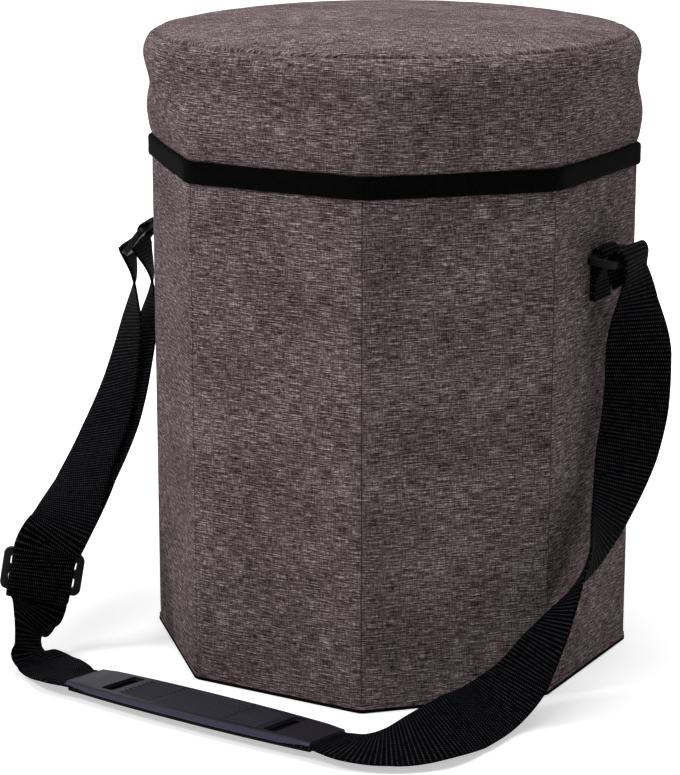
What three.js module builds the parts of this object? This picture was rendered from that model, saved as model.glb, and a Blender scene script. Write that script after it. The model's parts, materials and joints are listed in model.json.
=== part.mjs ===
// Folding cooler stool: an octagonal insulated box whose eight boards fold flat, a padded seat lid,
// and a webbing shoulder strap with a rubber pad. Millimetres, +Z up, front towards -Y.
// The origin is on the floor, under the middle of the seat.
import * as THREE from 'three';

// Box: an octagon with flats facing front, rear, left and right
const ACROSS_FLATS = 284;
const WALL_HEIGHT = 305.3;
const COVER_THICK = 1.2;
const BOARD_THICK = 2.8;
const FOAM_THICK = 5;
const SEAM_GAP = 0.4;
const FIT_GAP = 0.3;

// Base: a board in a black cloth cover, edged with tape, under the walls
const BASE_CLOTH = 0.9;
const BASE_BOARD = 2.2;
const BASE_LINER = 0.7;
const BASE_TAPE = 1.2;

// Lid: liner, board and a padded round seat, with a tape band along its lower edge
const LID_LINER = 4;
const LID_BOARD = 6;
const BAND_HEIGHT = 13;
const BAND_THICK = 1.8;
const SEAT_DIAMETER = 310;
const SEAT_BULGE_RISE = 55;
const SEAT_CROWN_RISE = 75;
const SEAT_CLOTH = 1.5;
const HINGE_WIDTH = 96;
const HINGE_DROP = 34;
const HINGE_THICK = 1;

// Strap fittings
const WEB_WIDTH = 40;
const WEB_THICK = 1.8;
const TAB_WIDTH = 25;
const TAB_THICK = 2.2;
const TAB_HEIGHT = 34;
const TAB_TOP = 270;
const RING_INSIDE = 42;
const RING_REACH = 20;
const RING_BAR = 4.2;
const SLIDER_INSIDE = 42;
const SLIDER_LENGTH = 27;
const SLIDER_BAR = 4.5;
const SLIDER_THICK = 3.4;
const PAD_LENGTH = 178;
const PAD_WIDTH = 46;
const PAD_THICK = 7;
const PAD_TILT = 6;
const PAD_NECK = 4;

// Strap routes: middle of the webbing, then the direction across it
const RIGHT_STRAP = [
  [166, 0, 260, -0.12, 0.99, 0],
  [168.5, 0, 237, 0.25, 0.96, -0.05],
  [172, -4, 206, 0.85, 0.52, 0],
  [172, -6, 174, 0.88, 0.47, 0],
  [169, -10, 146, 0.74, 0.67, 0],
  [165, -20, 115, 0.3, 0.86, -0.42],
  [162, -36, 92, -0.06, 0.98, -0.2],
  [160, -62, 73, -0.45, 0.87, -0.2],
  [153, -84, 48, -0.86, 0.48, -0.14],
  [144, -98, 26, -0.9, 0.33, 0.22],
  [137, -122, 15, -0.88, 0.1, 0.45],
  [135, -155, 15.5, -0.78, 0, 0.62],
  [126, -181, 14, -0.8, 0.28, 0.35],
  [107, -196, 8.5, -0.6, 0.78, 0.15],
  [90, -201.8, 6.6, -0.1, 0.98, 0.03],
  [71.3, -201.7, 6.6, 0.063, 0.99, -0.105],
];
const RIGHT_SPLIT = 6;
const SPLIT_GAP = 0.01;
const LEFT_LOWER = [
  [-108.2, -190.3, 6.6, 0.063, 0.99, -0.105],
  [-122, -189.3, 6.2, 0.07, 0.99, -0.09],
  [-136, -181, 4.6, 0.05, 1, 0],
  [-151, -173.5, 4.2, 0.12, 0.99, 0],
  [-163.5, -171.5, 9, -0.3, 0.93, -0.02],
  [-167, -166.5, 22, -0.18, 0.98, -0.07],
  [-169.4, -158.5, 29.5, 0.2, 0.92, -0.3],
  [-170.9, -153.4, 33, 0.62, 0.74, -0.2],
  [-169.9, -152.2, 40.2, 0.74, 0.64, -0.18],
];
const LEFT_UPPER = [
  [-165, -140.6, 73.6, -0.86, -0.38, 0.33],
  [-164.6, -134, 79.6, -0.88, -0.3, 0.33],
  [-170.7, -93.3, 98.9, -0.97, -0.17, -0.19],
  [-178.4, -51.8, 124.4, -0.96, -0.02, -0.27],
  [-182.3, -22.9, 155.2, -0.9, 0.31, -0.32],
  [-182.5, -5.9, 188, -0.78, 0.58, -0.23],
  [-182.6, 0.5, 215, -0.52, 0.82, -0.22],
  [-189.5, 0, 236.4, -0.3, 0.95, 0],
];
const RETURN_STRAND = [
  [-164.3, -150.2, 70.2, -0.7, -0.55, 0.45],
  [-159.4, -142, 82.2, -0.88, -0.3, 0.36],
  [-174, -96, 102.3, -0.97, -0.17, -0.19],
  [-184.2, -55, 126.7, -0.96, -0.02, -0.27],
  [-190.5, -26, 156.4, -0.9, 0.31, -0.32],
  [-191.9, -11, 189.4, -0.78, 0.58, -0.23],
  [-192.6, -6, 214.4, -0.52, 0.82, -0.22],
  [-200, -3.4, 237.1, -0.3, 0.95, 0],
];
const TAB_LEFT = [
  [-142.4, 5.2, 260.5, 0, 1, 0],
  [-156, 5.2, 262.5, 0, 1, 0],
  [-168.6, 5.8, 259.4, -0.2, 0.98, 0],
  [-181.7, 2.2, 250.6, -0.3, 0.95, 0],
];
const RING_LEFT_AT = [-189.3, 0, 242.6];
const RING_LEFT_TILT = 53;
const RING_LEFT_YAW = 17.5;
const RING_RIGHT_AT = [154.8, 0, 263];
const RING_RIGHT_TILT = 4;
const SLIDER_AT = [-167.9, -150, 54.6];
const SLIDER_ACROSS = [0.74, 0.64, -0.18];
const SLIDER_ALONG = [0.12, 0.14, 0.98];
const PAD_AT = [-18.6, -196, 6.6];
const PAD_YAW = -3.6;

const SIDES = 8;
const STEP = (2 * Math.PI) / SIDES;
const APOTHEM = ACROSS_FLATS / 2;
const BASE_TOP = BASE_CLOTH + BASE_BOARD + BASE_LINER + 2 * FIT_GAP;
const WALL_BOTTOM = BASE_TOP + FIT_GAP;
const WALL_TOP = WALL_BOTTOM + WALL_HEIGHT;
const LID_BOTTOM = WALL_TOP + FIT_GAP;
const LID_BOARD_BOTTOM = LID_BOTTOM + LID_LINER + FIT_GAP;
const FOAM_BOTTOM = LID_BOARD_BOTTOM + LID_BOARD + FIT_GAP;
const SEAT_BOTTOM = LID_BOTTOM + BAND_HEIGHT + FIT_GAP;
const WALL_NAMES = [
  'right', 'rear_right', 'rear', 'rear_left', 'left', 'front_left', 'front', 'front_right',
];

const rad = THREE.MathUtils.degToRad;

// Finishes
const finish = (color, roughness, metalness = 0) =>
  new THREE.MeshStandardMaterial({ color, roughness, metalness });
const melange = finish(0x64555a, 0.92);
const fibreboard = finish(0x8d8478, 0.85);
const foil = finish(0xc9cdd0, 0.35, 0.4);
const blackCloth = finish(0x121214, 0.9);
const webbing = finish(0x0d0d0f, 0.85);
const plastic = finish(0x141416, 0.5);
const rubber = finish(0x23222c, 0.7);
const softFoam = finish(0xd8d4c8, 0.95);

const stool = new THREE.Group();

function add(name, geometry, material, parent = stool) {
  const mesh = new THREE.Mesh(geometry, material);
  mesh.name = name;
  parent.add(mesh);
  return mesh;
}

// An upright prism from a plan outline
function prism(outline, bottom, height, hole = null) {
  const shape = new THREE.Shape(outline.map(([x, y]) => new THREE.Vector2(x, y)));
  if (hole) shape.holes.push(new THREE.Path(hole.map(([x, y]) => new THREE.Vector2(x, y))));
  const solid = new THREE.ExtrudeGeometry(shape, { depth: height, bevelEnabled: false });
  solid.translate(0, 0, bottom);
  return solid;
}

// Corners of an octagon of the given apothem, flats on the axes
function octagon(apothem) {
  const reach = apothem / Math.cos(STEP / 2);
  return Array.from({ length: SIDES }, (_, i) => {
    const turn = (i + 0.5) * STEP;
    return [reach * Math.cos(turn), reach * Math.sin(turn)];
  });
}

// One layer of a wall in the wall's own frame: its outside faces +X, its ends are mitred
function wallLayer(depth, thickness) {
  const outer = APOTHEM - depth;
  const inner = outer - thickness;
  const half = (apothem) => apothem * Math.tan(STEP / 2) - SEAM_GAP;
  const outline = [
    [outer, -half(outer)],
    [outer, half(outer)],
    [inner, half(inner)],
    [inner, -half(inner)],
  ];
  return prism(outline, WALL_BOTTOM, WALL_HEIGHT);
}

function buildWalls() {
  const boardDepth = COVER_THICK + FIT_GAP;
  const foamDepth = boardDepth + BOARD_THICK + FIT_GAP;
  WALL_NAMES.forEach((side, i) => {
    const wall = new THREE.Group();
    wall.rotation.z = i * STEP;
    add(`wall_cover_${side}`, wallLayer(0, COVER_THICK), melange, wall);
    add(`wall_board_${side}`, wallLayer(boardDepth, BOARD_THICK), fibreboard, wall);
    add(`wall_foam_${side}`, wallLayer(foamDepth, FOAM_THICK), foil, wall);
    stool.add(wall);
  });
}

function buildBase() {
  const inside = APOTHEM - BASE_TAPE - FIT_GAP;
  const boardBottom = BASE_CLOTH + FIT_GAP;
  const linerBottom = boardBottom + BASE_BOARD + FIT_GAP;
  add('base_cloth', prism(octagon(inside), 0, BASE_CLOTH), blackCloth);
  add('base_board', prism(octagon(inside), boardBottom, BASE_BOARD), fibreboard);
  add('base_liner', prism(octagon(inside), linerBottom, BASE_LINER), foil);
  add('base_tape', prism(octagon(APOTHEM), 0, BASE_TOP, octagon(APOTHEM - BASE_TAPE)), blackCloth);
}

// Seat profile: height above the band, radius, and how much of the octagon is left in the outline
function seatRings() {
  const round = SEAT_DIAMETER / 2;
  const foot = APOTHEM + BAND_THICK / 2;
  const roll = SEAT_CROWN_RISE - SEAT_BULGE_RISE;
  const rings = [
    [0, foot, 1],
    [0.28 * SEAT_BULGE_RISE, foot + 0.3 * (round - foot), 0.8],
    [0.55 * SEAT_BULGE_RISE, foot + 0.65 * (round - foot), 0.42],
    [0.8 * SEAT_BULGE_RISE, foot + 0.92 * (round - foot), 0.1],
  ];
  for (const turn of [0, 18, 36, 52, 66, 78]) {
    const lift = SEAT_BULGE_RISE + 0.85 * roll * Math.sin(rad(turn));
    rings.push([lift, round - 1.6 * roll * (1 - Math.cos(rad(turn))), 0]);
  }
  rings.push([SEAT_BULGE_RISE + 0.95 * roll, 0.62 * round, 0]);
  rings.push([SEAT_CROWN_RISE, 0.3 * round, 0]);
  return rings;
}

// Points of one ring: between an octagon of apothem `radius` and a circle of that radius
function ringPoints(radius, share, height, count) {
  return Array.from({ length: count }, (_, i) => {
    const turn = (i / count) * 2 * Math.PI;
    const off = ((turn + STEP / 2) % STEP) - STEP / 2;
    const reach = radius * (1 - share + share / Math.cos(off));
    return [reach * Math.cos(turn), reach * Math.sin(turn), height];
  });
}

// A closed mesh from stacked rings of equal length, with each end closed on a centre point
function loft(rings, tops) {
  const count = rings[0].length;
  const points = rings.flat();
  const faces = [];
  for (let r = 0; r + 1 < rings.length; r += 1) {
    for (let i = 0; i < count; i += 1) {
      const next = (i + 1) % count;
      const a = r * count + i;
      const b = r * count + next;
      const up = rings[r + 1][i][2] >= rings[r][i][2];
      // the same diagonal on rising and falling faces, so that nested shells keep their gap
      if (up) faces.push(a, b, b + count, a, b + count, a + count);
      else faces.push(a, b, a + count, b, b + count, a + count);
    }
  }
  tops.forEach(([ring, height, facing]) => {
    const centre = points.length;
    points.push([0, 0, height]);
    for (let i = 0; i < count; i += 1) {
      const a = ring * count + i;
      const b = ring * count + ((i + 1) % count);
      faces.push(...(facing > 0 ? [a, b, centre] : [b, a, centre]));
    }
  });
  const solid = new THREE.BufferGeometry();
  solid.setAttribute('position', new THREE.Float32BufferAttribute(points.flat(), 3));
  solid.setIndex(faces);
  return solid;
}

function buildSeat(lid) {
  const around = 48;
  const rings = seatRings();
  const shell = (inset) =>
    rings.map(([lift, radius, share]) => {
      const height = SEAT_BOTTOM + lift * (1 - inset / SEAT_CROWN_RISE);
      return ringPoints(radius - inset, share, height, around);
    });
  const outside = shell(0);
  const inside = shell(SEAT_CLOTH);
  const crown = SEAT_BOTTOM + SEAT_CROWN_RISE + 0.5;
  // the cover runs down its inner face, over the lower edge and up its outer face
  const cover = loft(
    [...inside.slice().reverse(), ...outside],
    [[0, crown - SEAT_CLOTH, -1], [2 * rings.length - 1, crown, 1]],
  );
  add('seat_cover', cover, melange, lid);
  const core = shell(SEAT_CLOTH + FIT_GAP);
  const heel = ringPoints(rings[0][1] - BAND_THICK - 2 * FIT_GAP, 1, FOAM_BOTTOM, around);
  const foam = loft(
    [heel, ...core],
    [[0, FOAM_BOTTOM, -1], [core.length, crown - SEAT_CLOTH - 2 * FIT_GAP, 1]],
  );
  add('seat_foam', foam, softFoam, lid);
}

function buildLid() {
  const lid = new THREE.Group();
  const inside = APOTHEM - FIT_GAP;
  add('lid_liner', prism(octagon(inside), LID_BOTTOM, LID_LINER), foil, lid);
  add('lid_board', prism(octagon(inside), LID_BOARD_BOTTOM, LID_BOARD), fibreboard, lid);
  const band = prism(octagon(APOTHEM + BAND_THICK), LID_BOTTOM, BAND_HEIGHT, octagon(APOTHEM));
  add('lid_band', band, blackCloth, lid);
  buildSeat(lid);
  stool.add(lid);
  // cloth hinge sewn to the outside of the rear wall, up to the band
  const hinge = new THREE.BoxGeometry(HINGE_WIDTH, HINGE_THICK, HINGE_DROP);
  const strip = add('lid_hinge_strip', hinge, blackCloth);
  strip.position.set(0, APOTHEM + FIT_GAP + HINGE_THICK / 2, WALL_TOP - HINGE_DROP / 2);
}

// A flat ribbon along a route of [x, y, z, across x, across y, across z], or part of one by station
function ribbon(route, width, thickness, steps, first = 0, last = route.length - 1) {
  const middle = new THREE.CatmullRomCurve3(route.map(([x, y, z]) => new THREE.Vector3(x, y, z)));
  const sides = route.map(([, , , x, y, z]) => new THREE.Vector3(x, y, z).normalize());
  const sections = [];
  for (let i = 0; i <= steps; i += 1) {
    const reach = first + ((last - first) * i) / steps;
    const t = reach / (route.length - 1);
    const along = middle.getTangent(t);
    const k = Math.min(Math.floor(reach), route.length - 2);
    const across = sides[k].clone().lerp(sides[k + 1], reach - k);
    across.addScaledVector(along, -across.dot(along)).normalize();
    const out = new THREE.Vector3().crossVectors(along, across);
    across.multiplyScalar(width / 2);
    out.multiplyScalar(thickness / 2);
    const corner = (u, v) => middle.getPoint(t).addScaledVector(across, u).addScaledVector(out, v);
    const section = [corner(-1, -1), corner(1, -1), corner(1, 1), corner(-1, 1)];
    sections.push(section.map((point) => point.toArray()));
  }
  const count = 4;
  const faces = [0, 2, 1, 0, 3, 2];
  for (let s = 0; s < steps; s += 1) {
    for (let i = 0; i < count; i += 1) {
      const a = s * count + i;
      const b = s * count + ((i + 1) % count);
      faces.push(a, b, b + count, a, b + count, a + count);
    }
  }
  const end = steps * count;
  faces.push(end, end + 1, end + 2, end, end + 2, end + 3);
  const solid = new THREE.BufferGeometry();
  solid.setAttribute('position', new THREE.Float32BufferAttribute(sections.flat(2), 3));
  solid.setIndex(faces);
  return solid;
}

// A rectangular loop lying flat: inside width along Y, reach along X, round corners
function loop(inside, reach, bar, thickness) {
  const shape = roundedRect(reach, inside + 2 * bar, bar);
  shape.holes.push(roundedRect(reach - 2 * bar, inside, bar / 3));
  return plate(shape, thickness);
}

// A flat plate with its middle plane at z = 0
function plate(shape, thickness) {
  const solid = new THREE.ExtrudeGeometry(shape, { depth: thickness, bevelEnabled: false, curveSegments: 5 });
  solid.translate(0, 0, -thickness / 2);
  return solid;
}

function roundedRect(sizeX, sizeY, corner) {
  const x = sizeX / 2;
  const y = sizeY / 2;
  const path = new THREE.Shape();
  path.moveTo(-x + corner, -y);
  path.lineTo(x - corner, -y);
  path.absarc(x - corner, -y + corner, corner, -Math.PI / 2, 0);
  path.lineTo(x, y - corner);
  path.absarc(x - corner, y - corner, corner, 0, Math.PI / 2);
  path.lineTo(-x + corner, y);
  path.absarc(-x + corner, y - corner, corner, Math.PI / 2, Math.PI);
  path.lineTo(-x, -y + corner);
  path.absarc(-x + corner, -y + corner, corner, Math.PI, 1.5 * Math.PI);
  return path;
}

function buildStrap() {
  const web = (name, route, ...span) => add(name, ribbon(route, WEB_WIDTH, WEB_THICK, ...span), webbing);
  web('strap_right_upper', RIGHT_STRAP, 18, 0, RIGHT_SPLIT - SPLIT_GAP);
  web('strap_right_lower', RIGHT_STRAP, 24, RIGHT_SPLIT + SPLIT_GAP);
  web('strap_left_lower', LEFT_LOWER, 24);
  web('strap_left_upper', LEFT_UPPER, 28);
  web('strap_return', RETURN_STRAND, 28);

  add('tab_left', ribbon(TAB_LEFT, TAB_WIDTH, TAB_THICK, 6), webbing);
  const patch = new THREE.BoxGeometry(TAB_THICK, TAB_WIDTH, TAB_HEIGHT);
  const tabRight = add('tab_right', patch, webbing);
  tabRight.position.set(APOTHEM + FIT_GAP + TAB_THICK / 2, 0, TAB_TOP - TAB_HEIGHT / 2);

  const ring = () => loop(RING_INSIDE, RING_REACH, RING_BAR, RING_BAR);
  const ringLeft = add('ring_left', ring(), plastic);
  ringLeft.position.set(...RING_LEFT_AT);
  ringLeft.rotation.set(0, -rad(RING_LEFT_TILT), rad(RING_LEFT_YAW), 'ZYX');
  const ringRight = add('ring_right', ring(), plastic);
  ringRight.position.set(...RING_RIGHT_AT);
  ringRight.rotation.y = rad(RING_RIGHT_TILT);
}

function buildSlider() {
  const frame = roundedRect(SLIDER_LENGTH, SLIDER_INSIDE + 2 * SLIDER_BAR, SLIDER_BAR);
  const slot = (SLIDER_LENGTH - 3 * SLIDER_BAR) / 2;
  for (const side of [-1, 1]) {
    const at = (side * (slot + SLIDER_BAR)) / 2;
    const hole = roundedRect(slot, SLIDER_INSIDE, SLIDER_BAR / 3).getPoints(3);
    frame.holes.push(new THREE.Path(hole.map((p) => new THREE.Vector2(p.x + at, p.y))));
  }
  const solid = plate(frame, SLIDER_THICK);
  const slider = add('strap_slider', solid, plastic);
  const across = new THREE.Vector3(...SLIDER_ACROSS).normalize();
  const along = new THREE.Vector3(...SLIDER_ALONG);
  along.addScaledVector(across, -along.dot(across)).normalize();
  const out = new THREE.Vector3().crossVectors(along, across);
  slider.quaternion.setFromRotationMatrix(new THREE.Matrix4().makeBasis(along, across, out));
  slider.position.set(...SLIDER_AT);
}

function buildPad() {
  const x = PAD_LENGTH / 2;
  const y = PAD_WIDTH / 2;
  const outline = new THREE.Shape();
  outline.moveTo(-x, -y + PAD_NECK);
  outline.quadraticCurveTo(-x / 2, -y - PAD_NECK / 2, 0, -y);
  outline.quadraticCurveTo(x / 2, -y - PAD_NECK / 2, x, -y + PAD_NECK);
  outline.lineTo(x, y - PAD_NECK);
  outline.quadraticCurveTo(x / 2, y + PAD_NECK / 2, 0, y);
  outline.quadraticCurveTo(-x / 2, y + PAD_NECK / 2, -x, y - PAD_NECK);
  const pad = add('shoulder_pad', plate(outline, PAD_THICK), rubber);
  pad.rotation.order = 'ZXY';
  pad.rotation.set(-rad(PAD_TILT), 0, rad(PAD_YAW));
  pad.position.set(...PAD_AT);
}

buildWalls();
buildBase();
buildLid();
buildStrap();
buildSlider();
buildPad();

export default stool;
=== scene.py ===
"""Looks of the folding cooler stool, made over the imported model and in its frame.

Metres, +Z up, front towards -Y. The strap's routes, in millimetres, follow the model's
stations and go on through the pad, the rings and the slider.
"""

import json
import math

import bpy
import numpy as np
from mathutils import Euler, Matrix, Vector, noise

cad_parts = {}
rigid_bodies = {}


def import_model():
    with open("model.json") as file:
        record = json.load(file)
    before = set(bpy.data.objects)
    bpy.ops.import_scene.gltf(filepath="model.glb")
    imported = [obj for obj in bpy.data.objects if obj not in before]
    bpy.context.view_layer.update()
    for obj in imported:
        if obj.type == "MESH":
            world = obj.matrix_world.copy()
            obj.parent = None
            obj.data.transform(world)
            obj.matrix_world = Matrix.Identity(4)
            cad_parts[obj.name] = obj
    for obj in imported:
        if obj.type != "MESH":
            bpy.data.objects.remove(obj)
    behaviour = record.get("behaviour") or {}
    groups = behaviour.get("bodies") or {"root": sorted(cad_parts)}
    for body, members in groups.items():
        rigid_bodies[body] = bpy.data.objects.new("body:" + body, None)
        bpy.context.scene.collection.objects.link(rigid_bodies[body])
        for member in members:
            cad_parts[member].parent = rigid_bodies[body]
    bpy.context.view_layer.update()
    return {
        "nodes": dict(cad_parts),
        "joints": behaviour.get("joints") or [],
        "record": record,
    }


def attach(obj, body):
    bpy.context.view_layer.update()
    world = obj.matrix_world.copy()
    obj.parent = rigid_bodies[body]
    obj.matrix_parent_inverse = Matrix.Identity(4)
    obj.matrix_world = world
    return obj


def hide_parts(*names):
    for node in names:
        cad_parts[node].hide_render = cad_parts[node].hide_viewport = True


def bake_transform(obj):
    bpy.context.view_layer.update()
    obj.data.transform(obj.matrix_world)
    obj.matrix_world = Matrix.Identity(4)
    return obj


MM = 0.001

# Box
APOTHEM = 0.142
STEP = math.radians(45)
SEAM_GAP = 0.0009
COVER_THICK = 0.0012
PANEL_THICK = 0.0007
WALL_BOTTOM = 0.0047
WALL_TOP = 0.310
BASE_TOP = 0.0044
TAPE_TOP = 0.0022
TAPE_THICK = 0.0012
HEM_THICK = 0.001
EDGE_LAP = 0.0002
BASE_CORNER = 0.008

# Cloth of a wall: how far its edges sink, and how far from an edge that is felt
PANEL_SET_BACK = 0.0002
RIM_SINK = 0.0011
RIM_REACH = 0.0035
END_SINK = 0.0006
END_REACH = 0.0015
PANEL_SWELL = 0.0005
PANEL_PUCKER = 0.0005
PANEL_GATHER = 0.0006
GATHER_REACH = 0.035
CALM_REACH = 0.02
SEAM_SINK = 0.00015
SIDES = ["right", "rear_right", "rear", "rear_left", "left", "front_left", "front", "front_right"]
BODY_OF = {side: f"wall_{side}" for side in SIDES}
BODY_OF["front"] = "box_front"

# Lid
BAND_BOTTOM = 0.3103
BAND_TOP = 0.3233
BAND_THICK = 0.0018
BAND_CORNER = 0.018
BAND_RIB = 0.0013
BAND_FLOAT = 0.0016
BAND_OUT = 0.0005
BAND_DROP = 0.0002
BAND_WAVE = 0.0007
SEAT_BOTTOM = 0.3236
SEAT_FOOT = 0.1431
SEAT_RADIUS = 0.1540
SEAT_BULGE = 0.0545
SEAT_ROLL_OUT = 0.0165
SEAT_ROLL_UP = 0.0165
SEAT_SEAM = 52
SEAT_CROWN = 0.0752
SEAT_EIGHT_SIDED = 0.9
SEAT_STRAIGHT = 0.014
SEAT_COUNT = 128
SEAT_PRESSURE = 3.0
SEAT_RIPPLE = 0.0005
CLOTH_FRAMES = 20
SEAM_DEPTH = 0.0022
SEAM_SPREAD = 5
SIDE_WEAVE_RADIUS = 0.15
TOP_WEAVE_SHIFT = 3
HINGE_WIDTH = 0.096
HINGE_THICK = 0.0009
HINGE_ROUTE = [
    (0, 143.0, 277, 1, 0, 0),
    (0, 143.0, 292, 1, 0, 0),
    (0, 143.4, 304, 1, 0, 0),
    (0, 144.9, 310, 1, 0, 0),
    (0, 144.9, 316, 1, 0, 0),
    (0, 144.5, 321.5, 1, 0, 0),
]

# Strap: middle of the webbing in mm, then the direction across it
WEB_WIDTH = 0.040
WEB_THICK = 0.0018
WEB_RIB = 0.00245
WEB_FLOAT = 0.0014
ROUTE_STEPS = 9
TAB_STEPS = 6
RIGHT_SPLIT = 0.246
RIGHT_LOOP = [
    (161.4, 0, 247, 0, 1, 0),
    (157.8, 0, 256, 0, 1, 0),
    (158.4, 0, 266.5, 0, 1, 0),
    (162.8, 0, 270, 0, 1, 0),
    (166.8, 0, 266.5, -0.06, 1, 0),
    (167.2, 0, 256, -0.1, 0.99, 0),
]
RIGHT_STRAP = [
    (168.5, 0, 237, 0.25, 0.96, -0.05),
    (172, -4, 206, 0.85, 0.52, 0),
    (172, -6, 174, 0.88, 0.47, 0),
    (169, -10, 146, 0.74, 0.67, 0),
    (165, -20, 115, 0.3, 0.86, -0.42),
    (162, -36, 92, -0.06, 0.98, -0.2),
    (160, -62, 73, -0.45, 0.87, -0.2),
    (153, -84, 48, -0.86, 0.48, -0.14),
    (144, -98, 26, -0.9, 0.33, 0.22),
    (137, -122, 15, -0.88, 0.1, 0.45),
    (135, -155, 15.5, -0.78, 0, 0.62),
    (126, -181, 14, -0.8, 0.28, 0.35),
    (107, -196, 8.5, -0.6, 0.78, 0.15),
    (90, -201.8, 6.6, -0.1, 0.98, 0.03),
    (71.3, -201.7, 6.6, 0.063, 0.99, -0.105),
    (48, -200.2, 6.2, 0.063, 0.99, -0.105),
    (25.4, -198.8, 6.2, 0.063, 0.99, -0.105),
]
LEFT_LOWER = [
    (25, -198.7, 6.2, 0.063, 0.99, -0.105),
    (-18.6, -196, 6.2, 0.063, 0.99, -0.105),
    (-77, -192.3, 6.2, 0.063, 0.99, -0.105),
    (-108.2, -190.3, 6.6, 0.063, 0.99, -0.105),
    (-122, -189.3, 6.2, 0.07, 0.99, -0.09),
    (-136, -181, 4.6, 0.05, 1, 0),
    (-151, -173.5, 4.2, 0.12, 0.99, 0),
    (-163.5, -171.5, 9, -0.3, 0.93, -0.02),
    (-167, -166.5, 22, -0.18, 0.98, -0.07),
    (-169.4, -158.5, 29.5, 0.2, 0.92, -0.3),
    (-170.9, -153.4, 34, 0.62, 0.74, -0.2),
    (-171.6, -149.9, 43, 0.74, 0.64, -0.18),
    (-169.9, -147.6, 54.6, 0.74, 0.64, -0.18),
]
LEFT_UPPER = [
    (-169.8, -147.4, 55, -0.74, -0.64, 0.18),
    (-168.2, -145, 65, -0.78, -0.55, 0.25),
    (-165, -140.6, 73.6, -0.86, -0.38, 0.33),
    (-164.6, -134, 79.6, -0.88, -0.3, 0.33),
    (-170.7, -93.3, 98.9, -0.97, -0.17, -0.19),
    (-178.4, -51.8, 124.4, -0.96, -0.02, -0.27),
    (-182.3, -22.9, 155.2, -0.9, 0.31, -0.32),
    (-182.5, -5.9, 188, -0.78, 0.58, -0.23),
    (-182.6, 0.5, 215, -0.52, 0.82, -0.22),
    (-189.4, -0.1, 235.6, -0.3, 0.95, 0),
    (-190.8, -0.5, 239.9, -0.3, 0.95, 0),
    (-193.6, -1.4, 241.2, -0.3, 0.95, 0),
]
RETURN_STRAND = [
    (-194, -1.5, 241.2, -0.3, 0.95, 0),
    (-197, -2.4, 240, -0.3, 0.95, 0),
    (-199.3, -3.2, 236, -0.3, 0.95, 0),
    (-192.6, -6, 214.4, -0.52, 0.82, -0.22),
    (-191.9, -11, 189.4, -0.78, 0.58, -0.23),
    (-190.5, -26, 156.4, -0.9, 0.31, -0.32),
    (-184.2, -55, 126.7, -0.96, -0.02, -0.27),
    (-174, -96, 102.3, -0.97, -0.17, -0.19),
    (-159.4, -142, 82.2, -0.88, -0.3, 0.36),
    (-164.3, -150.2, 70.2, -0.7, -0.55, 0.45),
    (-165.8, -152.6, 56, -0.74, -0.64, 0.18),
    (-167.6, -154.6, 43, -0.74, -0.64, 0.18),
    (-168.6, -155.4, 37.5, -0.74, -0.64, 0.18),
]
TAB_WIDTH = 0.025
TAB_THICK = 0.0014
TAB_LEFT = [
    (-142.9, 5.2, 238, 0, 1, 0),
    (-143.2, 5.2, 254, 0, 1, 0),
    (-149, 5.2, 261.8, 0, 1, 0),
    (-161, 5.3, 262.8, -0.05, 1, 0),
    (-172, 5.2, 259.6, -0.2, 0.98, 0),
    (-181, 2.8, 254.4, -0.3, 0.95, 0),
    (-187, 0.8, 252.6, -0.3, 0.95, 0),
    (-188.9, 0.2, 248.9, -0.3, 0.95, 0),
    (-186.4, 0.9, 245.7, -0.3, 0.95, 0),
    (-182, 2.3, 247.2, -0.3, 0.95, 0),
    (-175, 4.4, 253.4, -0.25, 0.97, 0),
    (-166, 5.2, 258, -0.1, 0.99, 0),
    (-154, 5.2, 258.6, 0, 1, 0),
    (-146.4, 5.2, 251.6, 0, 1, 0),
    (-145, 5.2, 238, 0, 1, 0),
]
TAB_RIGHT = [
    (143.2, 0, 236.5, 0, 1, 0),
    (143.3, 0, 256, 0, 1, 0),
    (143.2, 0, 265, 0, 1, 0),
    (145, 0, 268.4, 0, 1, 0),
    (148.6, 0, 268.2, 0, 1, 0),
    (150.6, 0, 263, 0, 1, 0),
    (149.4, 0, 256, 0, 1, 0),
    (146, 0, 249, 0, 1, 0),
    (145.2, 0, 236.5, 0, 1, 0),
]
PAD_AT = Vector((-0.0186, -0.196, 0.0066))
PAD_YAW = math.radians(-3.6)
PAD_TILT = math.radians(-6)
PAD_LENGTH = 0.178
PAD_WIDTH = 0.046
PAD_THICK = 0.007
PAD_SKIRT = -0.0008
PAD_TAPER = 0.004
PAD_BOW = 0.0012
PAD_RIDGE = 0.0006
PAD_RIDGE_PITCH = 0.0042
PAD_RIDGED_HALF = 0.050
PAD_GROOVE_AT = 0.0255
PAD_SLOT_AT = 0.0595
PAD_WALL = 0.0022
BACKING_INSET = 0.0018
RING_EDGE = 0.0011
SLIDER_EDGE = 0.0009
SHARP_ANGLE = 35

# Camera fitted to the photograph, image 680 x 775
IMAGE_LONG = 775
FOCAL_PIXELS = 2515
AXIS_OFF_CENTRE = 52
VIEW_AZIMUTH = math.radians(28.73)
VIEW_DISTANCE = 1.559
VIEW_HEIGHT = 0.5566
VIEW_PITCH = math.radians(14.19)
SKY_LIGHT = 0.21
LAMP_TARGET = (0, 0, 0.2)
FLOOR_HALF = 4
FLOOR_DROP = 0.0002
FLOOR_GREY = 0.86
GLOW_NEAR = 0.25
GLOW_FAR = 0.8


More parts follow.
